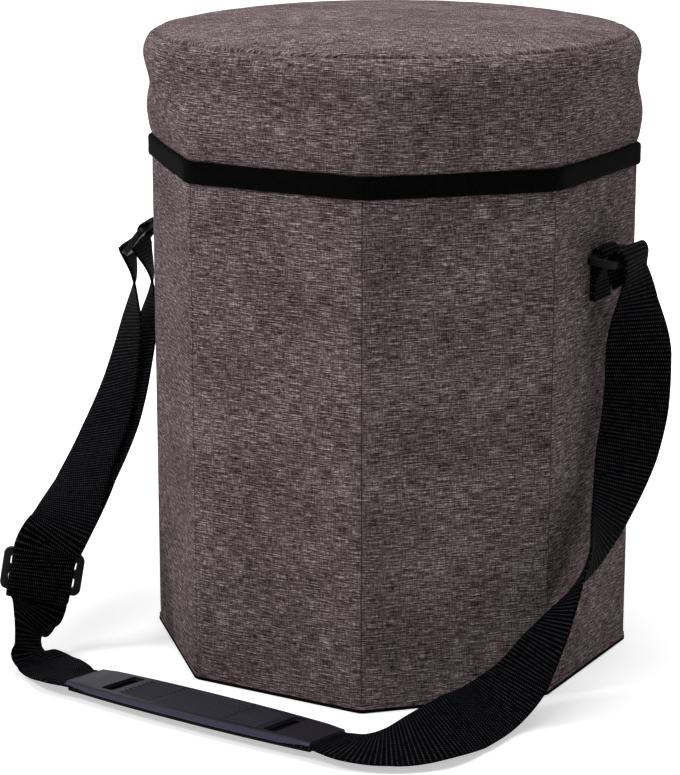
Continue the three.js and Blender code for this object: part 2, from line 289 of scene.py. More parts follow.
class Paint:
    """A node material while it is put together."""

    def __init__(self, name, **shader):
        self.material = bpy.data.materials.new(name)
        self.material.use_nodes = True
        self.tree = self.material.node_tree
        self.shader = self.tree.nodes["Principled BSDF"]
        for socket, value in shader.items():
            self.shader.inputs[socket.replace("_", " ")].default_value = value

    def add(self, kind, sockets=(), **settings):
        made = self.tree.nodes.new(kind)
        for key, value in settings.items():
            setattr(made, key, value)
        for key, value in dict(sockets).items():
            self.feed(made.inputs[key], value)
        return made

    def feed(self, socket, value):
        if isinstance(value, bpy.types.NodeSocket):
            self.tree.links.new(value, socket)
        else:
            socket.default_value = value

    def uv(self):
        return self.add("ShaderNodeUVMap", uv_map="cloth").outputs["UV"]

    def object_place(self):
        return self.add("ShaderNodeTexCoord").outputs["Object"]

    def noise(self, place, scale, detail=2.0, shift=0.0):
        """Noise with one feature per 1/scale metres along each axis."""
        placed = self.add(
            "ShaderNodeMapping",
            {"Vector": place, "Scale": scale, "Location": (shift, 1.7 * shift, 0)},
        )
        sockets = {"Vector": placed.outputs["Vector"], "Scale": 1.0, "Detail": detail, "Roughness": 0.6}
        return self.add("ShaderNodeTexNoise", sockets).outputs["Fac"]

    def math(self, operation, a, b=0.0, c=0.0):
        made = self.add("ShaderNodeMath", operation=operation)
        for socket, value in zip(made.inputs, (a, b, c)):
            self.feed(socket, value)
        return made.outputs["Value"]

    def axes(self, place):
        parts = self.add("ShaderNodeSeparateXYZ", {"Vector": place})
        return parts.outputs["X"], parts.outputs["Y"], parts.outputs["Z"]

    def wave(self, along, pitch, phase=0.0):
        """0 to 1 along an axis, once per pitch."""
        turn = self.math("MULTIPLY_ADD", along, 2 * math.pi / pitch, phase)
        return self.math("MULTIPLY_ADD", self.math("SINE", turn), 0.5, 0.5)

    def ramp(self, value, stops):
        made = self.add("ShaderNodeValToRGB", {"Fac": value})
        band = made.color_ramp
        while len(band.elements) < len(stops):
            band.elements.new(1.0)
        for element, (at, colour) in zip(band.elements, stops):
            element.position = at
            element.color = (*colour, 1)
        return made.outputs["Color"]

    def colour(self, value):
        self.feed(self.shader.inputs["Base Color"], value)

    def bump(self, height, distance, strength=1.0, below=None):
        sockets = {"Height": height, "Distance": distance, "Strength": strength}
        if below is not None:
            sockets["Normal"] = below
        made = self.add("ShaderNodeBump", sockets)
        self.feed(self.shader.inputs["Normal"], made.outputs["Normal"])
        return made.outputs["Normal"]


def srgb(r, g, b):
    """Linear colour from 8-bit sRGB."""
    def one(value):
        value /= 255
        return value / 12.92 if value <= 0.04045 else ((value + 0.055) / 1.055) ** 2.4
    return one(r), one(g), one(b)


def melange_cloth(name, depth=1.0):
    """Plain weave of mixed brown, grey and purple yarn, with slubs along the weft. A depth below 1 darkens
    every shade, as painted shade for the seam strips.
    """
    p = Paint(name, Roughness=0.95)
    p.shader.inputs["Specular IOR Level"].default_value = 0.03
    uv = p.uv()
    weft = p.noise(uv, (95, 1350, 1), 2.5, 3.1)
    fine = p.noise(uv, (420, 1800, 1), 1.5, 8.4)
    warp = p.noise(uv, (1650, 140, 1), 2.0, 5.7)
    patch = p.noise(uv, (16, 26, 1), 2.0, 1.3)
    yarn = p.math("MULTIPLY_ADD", weft, 0.44, p.math("MULTIPLY", fine, 0.26))
    yarn = p.math("MULTIPLY_ADD", warp, 0.22, yarn)
    yarn = p.math("MULTIPLY_ADD", patch, 0.08, yarn)
    shades = [(0.39, (30, 21, 24)), (0.45, (68, 55, 58)), (0.5, (100, 85, 88)), (0.55, (133, 118, 120)),
              (0.61, (196, 183, 184))]
    # a depth below 1 scales all the yarn shades down: painted shade
    p.colour(p.ramp(yarn, [(at, srgb(*(depth * value for value in shade))) for at, shade in shades]))
    u, v, _ = p.axes(uv)
    weave = p.math("MULTIPLY", p.wave(u, 0.0011), p.wave(v, 0.0009))
    height = p.math("MULTIPLY_ADD", yarn, 1.6, p.math("MULTIPLY", weave, 0.5))
    soft = p.bump(p.noise(uv, (22, 14, 1), 2.0, 2.2), 0.0012, 0.5)
    p.bump(height, 0.0005, 0.6, soft)
    return p.material


def ribbed_tape(name, along_pitch, across_pitch, dark, light):
    """Black woven tape: cross ribs along its length, each broken into small floats, with painted highlights
    as lighter dots on their crests.
    """
    p = Paint(name, Roughness=0.8)
    p.shader.inputs["Specular IOR Level"].default_value = 0.015
    uv = p.uv()
    u, v, _ = p.axes(uv)
    rib = p.wave(u, along_pitch)
    row = p.math("FLOOR", p.math("DIVIDE", u, along_pitch))
    float_phase = p.math("MULTIPLY", row, math.pi)
    floats = p.wave(v, across_pitch, float_phase)
    # the crests of ribs and floats take the light colour: painted highlights, varied by noise
    crest = p.math("MULTIPLY", p.math("POWER", rib, 3.0), p.math("POWER", floats, 3.0))
    painted_glint = p.math("MULTIPLY", crest, p.math("MULTIPLY_ADD", p.noise(uv, (220, 220, 1), 2.0), 1.4, -0.1))
    p.colour(p.ramp(painted_glint, [(0.0, dark), (0.18, dark), (0.5, light)]))
    height = p.math("MULTIPLY_ADD", floats, 0.35, rib)
    p.bump(height, 0.0005, 0.8)
    return p.material


def black_cloth():
    """Plain black cloth under the base."""
    p = Paint("base_black_cloth", Roughness=0.9)
    p.shader.inputs["Specular IOR Level"].default_value = 0.1
    place = p.object_place()
    x, y, _ = p.axes(place)
    weave = p.math("MULTIPLY", p.wave(x, 0.0011), p.wave(y, 0.0011))
    p.colour(p.ramp(p.noise(place, (90, 90, 90), 2.0), [(0.3, srgb(8, 8, 9)), (0.7, srgb(18, 18, 20))]))
    p.bump(weave, 0.0003, 0.6)
    return p.material


def moulded_plastic():
    """Black moulded plastic with a fine spark texture."""
    p = Paint("moulded_plastic", Roughness=0.45)
    p.shader.inputs["Specular IOR Level"].default_value = 0.1
    place = p.object_place()
    p.colour(p.ramp(p.noise(place, (160, 160, 160)), [(0.3, srgb(8, 8, 9)), (0.7, srgb(16, 16, 18))]))
    p.bump(p.noise(place, (2600, 2600, 2600), 1.0), 0.00012, 0.5)
    return p.material


def pad_rubber():
    """Soft rubber: almost black on its ridged top, blue-grey along its rolled sides."""
    p = Paint("pad_rubber", Roughness=0.48)
    p.shader.inputs["Specular IOR Level"].default_value = 0.14
    place = p.object_place()
    _, _, height = p.axes(place)
    mottled = p.math("MULTIPLY_ADD", p.noise(place, (120, 120, 120), 3.0), 0.0004, height)
    shades = [(0.4, srgb(60, 58, 80)), (0.58, srgb(30, 28, 37))]
    p.colour(p.ramp(p.math("MULTIPLY", mottled, 200.0), shades))
    p.bump(p.noise(place, (1800, 1800, 1800), 2.0), 0.00015, 0.5)
    return p.material


def foil_lining():
    """Silver film on foam, embossed with small diamonds and crinkled."""
    p = Paint("foil_lining", Roughness=0.34, Metallic=0.75)
    place = p.object_place()
    x, y, z = p.axes(place)
    lines = 1.0
    for flat in (p.math("ADD", x, y), p.math("SUBTRACT", x, y)):
        for operation in ("ADD", "SUBTRACT"):
            fold = p.wave(p.math(operation, flat, z), 0.018)
            lines = p.math("MULTIPLY", lines, p.math("POWER", fold, 0.25))
    crinkle = p.noise(place, (110, 110, 110), 4.0)
    p.colour(p.ramp(crinkle, [(0.3, srgb(146, 150, 154)), (0.7, srgb(190, 193, 196))]))
    below = p.bump(crinkle, 0.002, 0.5)
    p.bump(lines, 0.0012, 0.6, below)
    return p.material


def fibreboard():
    """Grey-brown stiffening board with loose fibres."""
    p = Paint("fibreboard", Roughness=0.88)
    place = p.object_place()
    fibre = p.noise(place, (340, 340, 60), 4.0)
    p.colour(p.ramp(fibre, [(0.3, srgb(116, 107, 96)), (0.7, srgb(160, 150, 136))]))
    p.bump(fibre, 0.0004, 0.5)
    return p.material


def shade_smooth(mesh, sharp):
    """Smooth shading, with edges sharper than an angle in degrees kept."""
    mesh.polygons.foreach_set("use_smooth", [True] * len(mesh.polygons))
    mesh.set_sharp_from_angle(angle=math.radians(sharp))


def new_object(name, points, faces, uvs=None, smooth=40):
    """A mesh object; uvs holds one pair for each corner of each face."""
    mesh = bpy.data.meshes.new(name)
    mesh.from_pydata([tuple(p) for p in points], [], faces)
    if uvs is not None:
        layer = mesh.uv_layers.new(name="cloth")
        layer.data.foreach_set("uv", np.asarray(uvs, np.float32).ravel())
    mesh.update()
    shade_smooth(mesh, smooth)
    made = bpy.data.objects.new(name, mesh)
    bpy.context.scene.collection.objects.link(made)
    return made


def paint(piece, material):
    piece.data.materials.clear()
    piece.data.materials.append(material)
    return piece


def apply_modifiers(piece):
    """Puts what the modifiers show into the mesh itself."""
    shown = piece.evaluated_get(bpy.context.evaluated_depsgraph_get())
    mesh = bpy.data.meshes.new_from_object(shown)
    piece.modifiers.clear()
    piece.data = mesh
    return piece


def grid_faces(rows, columns, closed=False):
    faces = []
    for r in range(rows - 1):
        for c in range(columns if closed else columns - 1):
            n = (c + 1) % columns
            faces.append((r * columns + c, r * columns + n, (r + 1) * columns + n, (r + 1) * columns + c))
    return faces


def smooth_step(x):
    x = np.clip(x, 0, 1)
    return x * x * (3 - 2 * x)


def wrinkle(x, y, seed):
    return noise.noise(Vector((x, y, seed)))


# Walls

def wall_panel(index, cloth):
    """The cloth of one wall, drawn tight over its board, with soft corners and faint puckers."""
    side = SIDES[index]
    half = APOTHEM * math.tan(STEP / 2) - SEAM_GAP
    edge = np.array([0, 0.0004, 0.0010, 0.0018, 0.003, 0.0055, 0.010])
    across = np.concatenate([-half + edge, np.linspace(-half + 0.017, half - 0.017, 15), half - edge[::-1]])
    up = np.concatenate([
        WALL_BOTTOM + edge[:5],
        np.linspace(WALL_BOTTOM + 0.010, WALL_TOP - 0.010, 44),
        WALL_TOP - edge[4::-1],
    ])
    turn = index * STEP
    out = np.array([math.cos(turn), math.sin(turn), 0])
    along = np.array([-math.sin(turn), math.cos(turn), 0])
    points = []
    for z in up:
        for s in across:
            to_side = half - abs(s)
            to_end = min(z - WALL_BOTTOM, WALL_TOP - z)
            rim = RIM_SINK * math.exp(-to_side / RIM_REACH) + END_SINK * math.exp(-to_end / END_REACH)
            calm = float(smooth_step(to_side / CALM_REACH))
            pucker = PANEL_PUCKER * wrinkle(s * 45, z * 9, index * 7.3)
            gather = PANEL_GATHER * wrinkle(s * 150, z * 12, index * 3.1)
            gather *= math.exp(-(WALL_TOP - z) / GATHER_REACH)
            depth = PANEL_SET_BACK + rim - calm * (PANEL_SWELL + pucker + gather)
            points.append(out * (APOTHEM - depth) + along * s + np.array([0, 0, z]))
    faces = grid_faces(len(up), len(across))
    flat = [(index * 2 * (half + SEAM_GAP) + s, z) for z in up for s in across]
    uvs = [flat[i] for face in faces for i in face]
    panel = new_object(f"cloth_{side}", points, faces, uvs, 60)
    shell = panel.modifiers.new("thickness", "SOLIDIFY")
    shell.thickness = PANEL_THICK
    shell.offset = -1
    apply_modifiers(panel)
    paint(panel, cloth)
    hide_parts(f"wall_cover_{side}")
    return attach(panel, BODY_OF[side])


def corner_turn(index):
    """Direction of the corner between wall index and the next one, counted anticlockwise."""
    return (index + 0.5) * STEP


def seam_strip(index, cloth):
    """Cloth under the joint of two walls. It shows as the seam line."""
    # its cloth comes in darker than the walls' cloth, as painted shade in the joint
    nexts = (index + 1) % len(SIDES)
    reach = (APOTHEM - COVER_THICK - SEAM_SINK) / math.cos(STEP / 2)
    turn = corner_turn(index)
    corner = np.array([reach * math.cos(turn), reach * math.sin(turn), 0])
    ways = []
    for wall, sign in ((index, -1), (nexts, 1)):
        angle = wall * STEP
        ways.append(sign * np.array([-math.sin(angle), math.cos(angle), 0]))
    steps = [0.007, 0.005, 0.003, 0.0015, 0.0006]
    line = [corner + ways[0] * d for d in steps] + [corner] + [corner + ways[1] * d for d in steps[::-1]]
    heights = np.linspace(WALL_BOTTOM + 0.001, WALL_TOP - 0.001, 24)
    points = [p + np.array([0, 0, z]) for z in heights for p in line]
    faces = grid_faces(len(heights), len(line))
    flat = [(0.002 * c, z) for z in heights for c in range(len(line))]
    uvs = [flat[i] for face in faces for i in face]
    first, second = BODY_OF[SIDES[index]], BODY_OF[SIDES[nexts]]
    joined = {frozenset((j["parent"], j["child"])) for j in frame["joints"]}
    if frozenset((first, second)) in joined:
        strip = new_object(f"seam_{SIDES[index]}_{SIDES[nexts]}", points, faces, uvs, 80)
        paint(strip, cloth)
        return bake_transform(strip)
    # the seam where the loop of walls is cut: one half on each wall
    columns = len(line)
    for body, keep in ((first, range(0, columns // 2 + 1)), (second, range(columns // 2, columns))):
        part = [i for r in range(len(heights)) for i in (r * columns + c for c in keep)]
        half_faces = grid_faces(len(heights), len(keep))
        half_uvs = [flat[part[i]] for face in half_faces for i in face]
        strip = new_object(f"seam_half_{body}", [points[i] for i in part], half_faces, half_uvs, 80)
        paint(strip, cloth)
        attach(strip, body)
    return None


def octagon_line(apothem, corner):
    """Points, outward directions and lengths round an octagon with round corners."""
    reach = (apothem - corner) / math.cos(STEP / 2)
    arc = 7
    straight = 20
    points = []
    outs = []
    for k in range(len(SIDES)):
        turn = corner_turn(k)
        centre = reach * np.array([math.cos(turn), math.sin(turn), 0])
        for angle in np.linspace(k * STEP, (k + 1) * STEP, arc):
            out = np.array([math.cos(angle), math.sin(angle), 0])
            points.append(centre + corner * out)
            outs.append(out)
        following = corner_turn(k + 1)
        ahead = reach * np.array([math.cos(following), math.sin(following), 0]) + corner * out
        first = points[-1]
        for share in np.linspace(0, 1, straight + 1)[1:-1]:
            points.append(first + share * (ahead - first))
            outs.append(out)
    steps = np.linalg.norm(np.diff(points + points[:1], axis=0), axis=1)
    return points, outs, np.concatenate([[0], np.cumsum(steps)])


def tape_ring(name, apothem, corner, thick, low, high, wave, material):
    """Cloth or tape sewn round the octagon: a flat section with soft edges."""
    heights = [0.0, 0.06, 0.2, 0.4, 0.6, 0.8, 0.94, 1.0]
    swell = [0.35, 0.85, 1.0, 0.96, 0.96, 1.0, 0.85, 0.35]
    section = list(zip(heights, swell)) + [(t, s - 0.9) for t, s in zip(heights[::-1], swell[::-1])]
    line, outs, lengths = octagon_line(apothem, corner)
    points = []
    for at, out in zip(line, outs):
        sway = wave * wrinkle(at[0] * 28, at[1] * 28, 4.2)
        bulge = wave * wrinkle(at[0] * 60, at[1] * 60, 9.1)
        for t, s in section:
            z = min(max(low + t * (high - low) + sway, low), high + abs(wave))
            points.append(at - out * (thick * (1 - s) + abs(bulge)) + np.array([0, 0, z]))
    columns = len(section)
    faces = []
    uvs = []
    for i in range(len(line)):
        j = (i + 1) % len(line)
        for c in range(columns):
            n = (c + 1) % columns
            faces.append((i * columns + c, j * columns + c, j * columns + n, i * columns + n))
            v0, v1 = section[c][0] * (high - low), section[n][0] * (high - low)
            uvs += [(lengths[i], v0), (lengths[i + 1], v0), (lengths[i + 1], v1), (lengths[i], v1)]
    ring = new_object(name, points, faces, uvs, 50)
    return paint(ring, material)


# Seat

def seat_profile():
    """Rise above the band, radius, and share of the octagon left in the outline, from foot to crown."""
    rings = [
        (-0.0022, SEAT_FOOT - 0.0017, SEAT_EIGHT_SIDED),
        (-0.0004, SEAT_FOOT - 0.0011, SEAT_EIGHT_SIDED),
        (0.0012, SEAT_FOOT - 0.0004, SEAT_EIGHT_SIDED),
    ]
    for rise in np.linspace(0.004, SEAT_BULGE, 13):
        part = rise / SEAT_BULGE
        spread = 0.7 * part + 0.3 * float(smooth_step((part - 0.6) / 0.4))
        rounded = float(smooth_step((rise - SEAT_STRAIGHT) / (SEAT_BULGE - SEAT_STRAIGHT)))
        share = SEAT_EIGHT_SIDED - SEAT_EIGHT_SIDED * rounded
        rings.append((rise, SEAT_FOOT + (SEAT_RADIUS - SEAT_FOOT) * spread, share))
    inner = SEAT_RADIUS - SEAT_ROLL_OUT
    for turn in (15, 30, 42, 48, SEAT_SEAM, 56, 62, 75, 90):
        angle = math.radians(turn)
        rise = SEAT_BULGE + SEAT_ROLL_UP * math.sin(angle)
        rings.append((rise, inner + SEAT_ROLL_OUT * math.cos(angle), 0.0))
    edge = SEAT_BULGE + SEAT_ROLL_UP
    for part in (0.93, 0.83, 0.7, 0.56, 0.42, 0.28, 0.14):
        rings.append((edge + (SEAT_CROWN - edge) * (1 - part**2), inner * part, 0.0))
    return rings


def roll_turn(points):
    """Angle of each point round the seat's rolled edge, in degrees: 0 at its widest, 90 on top."""
    reach = np.linalg.norm(points[:, :2], axis=1) - (SEAT_RADIUS - SEAT_ROLL_OUT)
    rise = points[:, 2] - SEAT_BOTTOM - SEAT_BULGE
    turn = np.degrees(np.arctan2(rise / SEAT_ROLL_UP, reach / SEAT_ROLL_OUT))
    return np.where(rise < 0, np.minimum(turn, 0), np.clip(turn, 0, 180))


def seat_blank(profile, count):
    """The closed form that the cover is blown up from."""
    points = []
    for rise, radius, share in profile:
        for i in range(count):
            turn = 2 * math.pi * i / count
            off = (turn + STEP / 2) % STEP - STEP / 2
            reach = radius * (1 - share + share / math.cos(off))
            points.append((reach * math.cos(turn), reach * math.sin(turn), SEAT_BOTTOM + rise))
    rows = len(profile)
    faces = grid_faces(rows, count, closed=True)
    top, bottom = len(points), len(points) + 1
    points += [(0, 0, SEAT_BOTTOM + SEAT_CROWN), (0, 0, SEAT_BOTTOM + profile[0][0])]
    for i in range(count):
        n = (i + 1) % count
        faces.append(((rows - 1) * count + i, (rows - 1) * count + n, top))
        faces.append((n, i, bottom))
    return new_object("seat_cushion", points, faces)


def read_points(mesh):
    flat = np.empty(3 * len(mesh.vertices), np.float32)
    mesh.vertices.foreach_get("co", flat)
    return flat.reshape(-1, 3).astype(float)


def write_points(mesh, points):
    mesh.vertices.foreach_set("co", np.asarray(points, np.float32).ravel())
    mesh.update()


def blow_up(piece, held, pressure, caps):
    """Swells a closed piece as cloth under pressure; held points stay, others move by at most their cap."""
    start = read_points(piece.data)
    group = piece.vertex_groups.new(name="held")
    group.add([int(i) for i in held], 1.0, "REPLACE")
    cloth = piece.modifiers.new("cloth", "CLOTH")
    cloth.settings.use_pressure = True
    cloth.settings.uniform_pressure_force = pressure
    cloth.settings.effector_weights.gravity = 0
    cloth.settings.vertex_group_mass = "held"
    cloth.settings.quality = 5
    cloth.settings.tension_stiffness = 18
    cloth.settings.compression_stiffness = 18
    cloth.settings.bending_stiffness = 1.5
    scene = bpy.context.scene
    for step in range(1, CLOTH_FRAMES + 1):
        scene.frame_set(step)
    apply_modifiers(piece)
    scene.frame_set(1)
    piece.vertex_groups.clear()
    moved = read_points(piece.data) - start
    length = np.linalg.norm(moved, axis=1)
    moved *= np.minimum(1, caps / np.maximum(length, 1e-9))[:, None]
    write_points(piece.data, start + moved)
    return piece


def seat_cushion(cloth):
    """The padded seat: a side panel and a round top panel, sewn together along the rolled edge."""
    seat = seat_blank(seat_profile(), SEAT_COUNT)
    points = read_points(seat.data)
    low = np.flatnonzero(points[:, 2] < SEAT_BOTTOM + 0.003)
    sewn = np.flatnonzero(np.abs(roll_turn(points) - SEAT_SEAM) < 1)
    upper = smooth_step((points[:, 2] - SEAT_BOTTOM - 0.03) / 0.02)
    blow_up(seat, np.concatenate([low, sewn]), SEAT_PRESSURE, 0.001 + 0.002 * upper)
    finer = seat.modifiers.new("finer", "SUBSURF")
    finer.levels = 1
    finer.render_levels = 1
    apply_modifiers(seat)
    mesh = seat.data
    points = read_points(mesh)
    normals = np.array([v.normal for v in mesh.vertices])
    turn = roll_turn(points)
    radius = np.linalg.norm(points[:, :2], axis=1)
    seam = np.exp(-((turn - SEAT_SEAM) / SEAM_SPREAD) ** 2) * (radius > 0.13)
    points -= normals * (SEAM_DEPTH * seam)[:, None]
    ripple = np.array([wrinkle(x * 40, y * 40, z * 14) for x, y, z in points])
    side = smooth_step((points[:, 2] - SEAT_BOTTOM) / 0.02) * (turn < 40)
    points += normals * (SEAT_RIPPLE * ripple * side)[:, None]
    write_points(mesh, points)
    seat_uvs(mesh)
    mesh.polygons.foreach_set("use_smooth", [True] * len(mesh.polygons))
    paint(seat, cloth)
    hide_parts("seat_cover", "seat_foam")
    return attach(seat, "lid")


def seat_uvs(mesh):
    """Weave round the side panel and up its roll, and straight across the top panel."""
    layer = mesh.uv_layers.get("cloth") or mesh.uv_layers.new(name="cloth")
    cos, sin = math.cos(VIEW_AZIMUTH), math.sin(VIEW_AZIMUTH)
    turns = roll_turn(read_points(mesh))
    values = np.zeros((len(mesh.loops), 2), np.float32)
    for face in mesh.polygons:
        top = np.mean([turns[i] for i in face.vertices]) > SEAT_SEAM
        facing = math.atan2(face.center.y, face.center.x)
        for loop in face.loop_indices:
            index = mesh.loops[loop].vertex_index
            point = mesh.vertices[index].co
            if top:
                along = point.x * cos + point.y * sin
                up = -point.x * sin + point.y * cos
                values[loop] = (TOP_WEAVE_SHIFT + along, TOP_WEAVE_SHIFT + up)
                continue
            around = math.atan2(point.y, point.x)
            around += 2 * math.pi * round((facing - around) / (2 * math.pi))
            rolled = max(0.0, math.radians(turns[index])) * SEAT_ROLL_OUT
            values[loop] = (SIDE_WEAVE_RADIUS * around, min(point.z, SEAT_BOTTOM + SEAT_BULGE) + rolled)
    layer.data.foreach_set("uv", values.ravel())


# Strap

def curve_points(route, per_span):
    """Centripetal Catmull-Rom through the route, with the direction across it; both in metres."""
    stations = np.array(route, float)
    middle = stations[:, :3] * MM
    sides = stations[:, 3:]
    sides /= np.linalg.norm(sides, axis=1, keepdims=True)
    padded = np.vstack([2 * middle[0] - middle[1], middle, 2 * middle[-1] - middle[-2]])
    points = []
    across = []
    for i in range(len(middle) - 1):
        p0, p1, p2, p3 = padded[i:i + 4]
        d0, d1, d2 = (max(np.linalg.norm(b - a), 1e-9) ** 0.5 for a, b in ((p0, p1), (p1, p2), (p2, p3)))
        t1 = ((p1 - p0) / d0 - (p2 - p0) / (d0 + d1) + (p2 - p1) / d1) * d1
        t2 = ((p2 - p1) / d1 - (p3 - p1) / (d1 + d2) + (p3 - p2) / d2) * d1
        bend = 3 * (p2 - p1) - 2 * t1 - t2
        twist = 2 * (p1 - p2) + t1 + t2
        last = i == len(middle) - 2
        for t in np.linspace(0, 1, per_span + 1)[: per_span + 1 if last else per_span]:
            points.append(p1 + t1 * t + bend * t**2 + twist * t**3)
            across.append(sides[i] * (1 - t) + sides[i + 1] * t)
    return np.array(points), np.array(across)


def lengths_along(points):
    """Length of a sampled route up to each of its points."""
    return np.concatenate([[0], np.cumsum(np.linalg.norm(np.diff(points, axis=0), axis=1))])


def cut_route(points, across, start, stop):
    """The stretch of a sampled route between two lengths along it."""
    length = lengths_along(points)
    stop = min(stop, length[-1])
    inside = (length > start + 0.0004) & (length < stop - 0.0004)
    at = np.concatenate([[start], length[inside], [stop]])
    cut = []
    for values in (points, across):
        cut.append(np.stack([np.interp(at, length, values[:, k]) for k in range(3)], axis=1))
    return cut


def ribbon(name, points, across, width, thick, material):
    """Flat webbing with rounded edges along sampled points."""
    tangent = np.gradient(points, axis=0)
    tangent /= np.linalg.norm(tangent, axis=1, keepdims=True)
    across = across - tangent * (across * tangent).sum(1, keepdims=True)
    across /= np.linalg.norm(across, axis=1, keepdims=True)
    out = np.cross(tangent, across)
    columns = np.array([-0.485, -0.45, -0.3, -0.15, 0, 0.15, 0.3, 0.45, 0.485])
    section = [(u, -0.5 if abs(u) < 0.47 else -0.4) for u in columns] + [(0.5, 0)]
    section += [(u, 0.5 if abs(u) < 0.47 else 0.4) for u in columns[::-1]] + [(-0.5, 0)]
    verts = []
    for p, a, o in zip(points, across, out):
        verts += [p + a * u * width + o * v * thick for u, v in section]
    count = len(section)
    length = lengths_along(points)
    faces = []
    uvs = []
    for i in range(len(points) - 1):
        for c in range(count):
            n = (c + 1) % count
            faces.append((i * count + c, i * count + n, (i + 1) * count + n, (i + 1) * count + c))
            a, b = section[c][0] * width, section[n][0] * width
            uvs += [(length[i], a), (length[i], b), (length[i + 1], b), (length[i + 1], a)]
    last = (len(points) - 1) * count
    faces.append(tuple(range(count))[::-1])
    faces.append(tuple(last + c for c in range(count)))
    uvs += [(length[0], section[c][0] * width) for c in reversed(range(count))]
    uvs += [(length[-1], section[c][0] * width) for c in range(count)]
    piece = new_object(name, verts, faces, uvs, 50)
    return paint(piece, material)


def strap_piece(name, points, across, material, bodies, start, end, node, with_pieces=()):
    """One stretch of the strap, from one wall to the next."""
    piece = ribbon(name, points, across, WEB_WIDTH, WEB_THICK, material)
    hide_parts(node)
    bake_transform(piece)
    return piece


def make_strap(web, pad, fittings):
    """Five stretches of webbing, from the right ring to the left one and back to the slider."""
    right, right_across = curve_points(RIGHT_LOOP + RIGHT_STRAP, ROUTE_STEPS)
    upper = cut_route(right, right_across, 0.0, RIGHT_SPLIT)
    lower = cut_route(right, right_across, RIGHT_SPLIT, math.inf)
    strap_piece("strap_right_top", *upper, web, ("wall_right", "wall_front_right"),
                (170, -6, 190), (160, -62, 73), "strap_right_upper",
                [fittings["ring_right"], fittings["tab_right"]])
    strap_piece("strap_right_floor", *lower, web, ("wall_front_right", "box_front"),
                (159, -64, 71), (85, -201, 7), "strap_right_lower", [pad])
    strap_piece("strap_left_floor", *curve_points(LEFT_LOWER, ROUTE_STEPS), web,
                ("box_front", "wall_front_left"), (-115, -190, 6), (-168, -161, 27),
                "strap_left_lower", [fittings["strap_slider"]])
    strap_piece("strap_left_running", *curve_points(LEFT_UPPER, ROUTE_STEPS), web,
                ("wall_front_left", "wall_left"), (-165, -137, 77), (-183, 0, 212),
                "strap_left_upper", [fittings["ring_left"], fittings["tab_left"]])
    strap_piece("strap_left_sewn", *curve_points(RETURN_STRAND, ROUTE_STEPS), web,
                ("wall_left", "wall_front_left"), (-193, -6, 212), (-160, -143, 81), "strap_return")


def tab_piece(name, route, body, node, web):
    points, across = curve_points(route, TAB_STEPS)
    tab = ribbon(name, points, across, TAB_WIDTH, TAB_THICK, web)
    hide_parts(node)
    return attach(tab, body)


def moulded(node, body, width, plastic):
    """A moulded piece: the model's solid with its edges rounded."""
    piece = bpy.data.objects.new(f"{node}_moulded", frame["nodes"][node].data.copy())
    bpy.context.scene.collection.objects.link(piece)
    weld = piece.modifiers.new("weld", "WELD")
    weld.merge_threshold = 0.00002
    flat = piece.modifiers.new("flat", "DECIMATE")
    flat.decimate_type = "DISSOLVE"
    flat.angle_limit = math.radians(2)
    soft = piece.modifiers.new("edges", "BEVEL")
    soft.width = width
    soft.segments = 3
    soft.limit_method = "ANGLE"
    soft.angle_limit = math.radians(50)
    apply_modifiers(piece)
    shade_smooth(piece.data, SHARP_ANGLE)
    paint(piece, plastic)
    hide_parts(node)
    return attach(piece, body)


def pad_half_width(x):
    """Half the pad's width at x: narrower towards its ends, with a slight bow between."""
    reach = abs(x) / (PAD_LENGTH / 2)
    return PAD_WIDTH / 2 - PAD_TAPER * reach**2 + PAD_BOW * reach * (1 - reach)


def pad_section(x):
    """Cross-section of the pad at x: an upside-down channel, ridged on top between its slots."""
    reach = abs(x) / (PAD_LENGTH / 2)
    half = pad_half_width(x)
    top = PAD_THICK / 2 - 0.0006 * float(smooth_step((reach - 0.86) / 0.14))
    ridged = float(smooth_step((PAD_RIDGED_HALF - abs(x)) / 0.002))
    groove = math.exp(-(((abs(x) - PAD_GROOVE_AT) / 0.0012) ** 2))
    ridged *= 1 - groove
    ys = np.linspace(-half + 0.0014, half - 0.0014, 81)
    rim = smooth_step((half - 0.004 - np.abs(ys)) / 0.0012)
    ridge = PAD_RIDGE * np.cos(2 * math.pi * ys / PAD_RIDGE_PITCH)
    zs = top - PAD_RIDGE * rim * ridged + ridge * rim * ridged - 0.0007 * groove * rim
    line = [
        (half - 0.001, PAD_SKIRT),
        (half - 0.0002, PAD_SKIRT + 0.0008),
        (half, 0.0012),
        (half - 0.0006, top - 0.0007),
    ]
    line += [(y, z) for y, z in zip(ys[::-1], zs[::-1])]
    line += [(-y, z) for y, z in reversed(line[:4])]
    inner = half - PAD_WALL
    line += [(-inner, PAD_SKIRT), (-inner, 0.0012), (-inner * 0.5, 0.0014), (inner * 0.5, 0.0014)]
    line += [(inner, 0.0012), (inner, PAD_SKIRT)]
    return line


